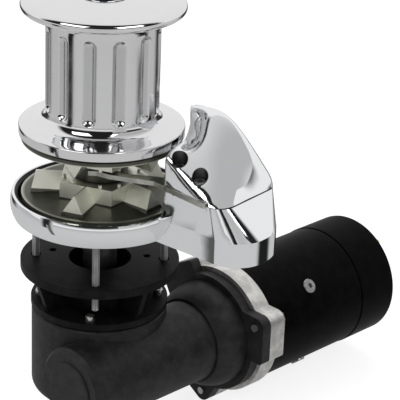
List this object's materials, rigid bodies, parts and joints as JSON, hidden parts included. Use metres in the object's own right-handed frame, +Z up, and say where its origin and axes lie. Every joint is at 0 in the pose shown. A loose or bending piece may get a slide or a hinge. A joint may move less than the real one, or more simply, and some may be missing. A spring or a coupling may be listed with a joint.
{
  "type": "anchor windlass",
  "caption": "Vertical anchor windlass: fluted rope drum, chain gypsy and chrome chain hood above the deck, worm gearbox and electric motor below it.",
  "frame": {"origin": "middle of the four deck studs, where the main shaft's axis meets the deck's top face", "axes": "+Z up along the main shaft, +Y along the motor away from the gearbox, +X towards the hood (the hood itself is turned 7 degrees from it)"},
  "size_m": [0.2821, 0.4536, 0.4753],
  "materials": {
    "chrome_base": "polished",
    "chrome_hood": "polished",
    "polished_drum": "polished",
    "gypsy_nickel": "satin",
    "stripper_steel": "satin",
    "nut_steel": "polished",
    "stud_steel": "bright",
    "screw_steel": "bright",
    "cover_screw_steel": "satin",
    "pole_screw_steel": "bright",
    "bolt_zinc": "zinc plated",
    "black_flange": "black satin paint",
    "black_gearbox": "black satin paint",
    "black_cap": "black satin paint",
    "motor_flange_cast": "as cast",
    "motor_shell_black": "satin paint",
    "motor_cap_black": "satin paint",
    "shaft_steel": "ground",
    "clutch_steel": "turned",
    "key_steel": "ground",
    "bearing_steel": "ground",
    "bush_plastic": "moulded",
    "seal_rubber": "matt",
    "wheel_bronze": "machined",
    "coupling_steel": "turned",
    "core_steel": "laminated",
    "copper": "enamelled",
    "commutator_copper": "turned",
    "brush_carbon": "matt",
    "plate_resin": "pressed",
    "terminal_brass": "bright"
  },
  "bodies": {
    "housing": {"base_housing": "chrome_base", "hood_cover": "chrome_hood", "cover_screws": "cover_screw_steel", "chain_stripper": "stripper_steel", "deck_studs": "stud_steel", "shaft_bush": "bush_plastic", "shaft_seal": "seal_rubber", "deck_flange": "black_flange", "gearbox_screws": "screw_steel", "gearbox_housing": "black_gearbox", "top_bearing": "bearing_steel", "bottom_bearing": "bearing_steel", "worm_end_cap": "black_cap", "worm_front_bearing": "bearing_steel", "worm_rear_bearing": "bearing_steel", "worm_seal": "seal_rubber", "motor_flange": "motor_flange_cast", "flange_bolts": "bolt_zinc", "motor_front_bearing": "bearing_steel", "motor_shell": "motor_shell_black", "pole_screws": "pole_screw_steel", "pole_shoes": "core_steel", "field_coils": "copper", "brushes": "brush_carbon", "brush_plate": "plate_resin", "motor_end_cap": "motor_cap_black", "motor_rear_bearing": "bearing_steel", "motor_terminals": "terminal_brass"},
    "main_shaft": {"main_shaft": "shaft_steel", "lower_cone": "clutch_steel", "upper_cone": "clutch_steel", "cone_keys": "key_steel", "drum": "polished_drum", "drum_key": "key_steel", "worm_wheel": "wheel_bronze", "wheel_key": "key_steel", "wheel_circlip": "key_steel"},
    "gypsy": {"gypsy": "gypsy_nickel"},
    "clutch_nut": {"clutch_nut": "nut_steel"},
    "worm": {"worm_shaft": "shaft_steel", "coupling": "coupling_steel", "motor_shaft": "shaft_steel", "armature_core": "core_steel", "armature_windings": "copper", "commutator": "commutator_copper"}
  },
  "joints": [
    {"name": "main_shaft_turn", "type": "hinge", "parent": "housing", "child": "main_shaft", "pos_m": [0, 0, 0], "axis": [0, 0, 1], "continuous": true},
    {"name": "gypsy_turn", "type": "hinge", "parent": "main_shaft", "child": "gypsy", "pos_m": [0, 0, 0.053], "axis": [0, 0, 1], "continuous": true},
    {"name": "clutch_nut_turn", "type": "hinge", "parent": "main_shaft", "child": "clutch_nut", "pos_m": [0, 0, 0.2], "axis": [0, 0, 1], "range_deg": [0, 180]},
    {"name": "worm_turn", "type": "hinge", "parent": "housing", "child": "worm", "pos_m": [0.05, 0, -0.156], "axis": [0, 1, 0], "continuous": true}
  ],
  "couplings": [
    {"joint": "worm_turn", "follows": "main_shaft_turn", "ratio": -38}
  ]
}
